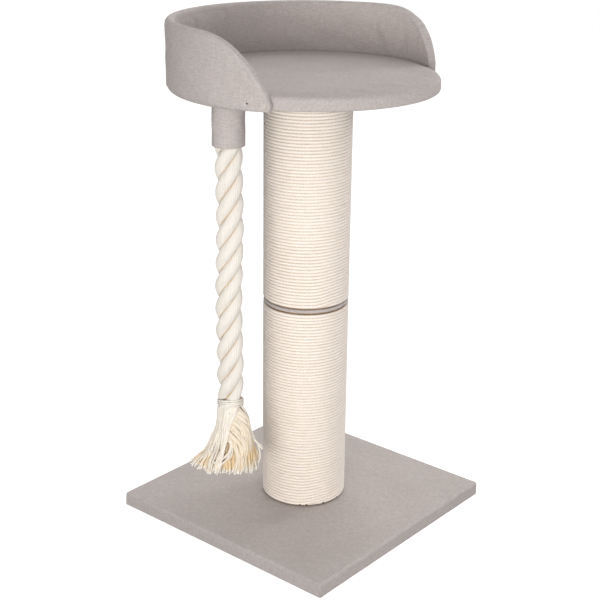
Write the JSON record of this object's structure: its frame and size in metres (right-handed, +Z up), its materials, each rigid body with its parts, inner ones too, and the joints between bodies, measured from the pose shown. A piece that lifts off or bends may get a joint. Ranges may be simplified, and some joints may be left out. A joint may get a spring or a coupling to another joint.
{
  "type": "cat scratcher",
  "caption": "Square covered base, thick rope-wound post and round padded platform with a low curved wall; a thick rope with a tassel hangs from a holder under the platform.",
  "frame": {"origin": "where the post's axis meets the floor, on the flat underside of the base", "axes": "+Z up along the post; +Y towards the middle of the platform's wall, within four degrees; the rope hangs on the -X side"},
  "size_m": [0.4689, 0.463, 0.88],
  "materials": {
    "fabric": "woven canvas, matt",
    "sisal": "twisted plant fibre, matt",
    "cotton": "laid cotton strands, matt",
    "wood": "raw particle board and plywood",
    "cardboard": "wound paper board",
    "foam": "soft open foam",
    "steel": "zinc plated",
    "liner": "non-woven sheet, matt"
  },
  "bodies": {
    "root": {"base_board": "wood", "base_cover": "fabric", "base_liner": "liner", "base_staples": "steel", "base_bolt": "steel", "base_washer": "steel", "lower_tube": "cardboard", "lower_bottom_plug": "wood", "lower_top_plug": "wood", "lower_sisal": "sisal", "spacer_disc": "wood", "spacer_cover": "fabric", "joint_stud": "steel", "upper_tube": "cardboard", "upper_bottom_plug": "wood", "upper_top_plug": "wood", "upper_sisal": "sisal", "tee_nuts": "steel", "tube_nails": "steel", "platform_stud": "steel", "platform_board": "wood", "platform_foam": "foam", "platform_cover": "fabric", "platform_liner": "liner", "platform_staples": "steel", "wall_panel": "wood", "wall_padding": "foam", "wall_cover": "fabric", "wall_screws": "steel", "wall_brads": "steel", "holder_plug": "wood", "holder_screws": "steel", "holder_tube": "cardboard", "holder_cover": "fabric", "holder_nails": "steel", "rope_screw": "steel", "rope_washer": "steel"},
    "rope_top": {"rope_neck": "cotton"},
    "rope": {"rope": "cotton", "whipping": "cotton", "tassel": "cotton"}
  },
  "joints": [
    {"name": "rope_twist", "type": "hinge", "parent": "root", "child": "rope_top", "pos_m": [-0.18589, 0.00649, 0.697], "axis": [0, 0, 1], "range_deg": [-90, 90]},
    {"name": "rope_swing", "type": "hinge", "parent": "rope_top", "child": "rope", "pos_m": [-0.18589, 0.00649, 0.685], "axis": [0.0349, 0.9994, 0], "range_deg": [-5, 45]}
  ]
}
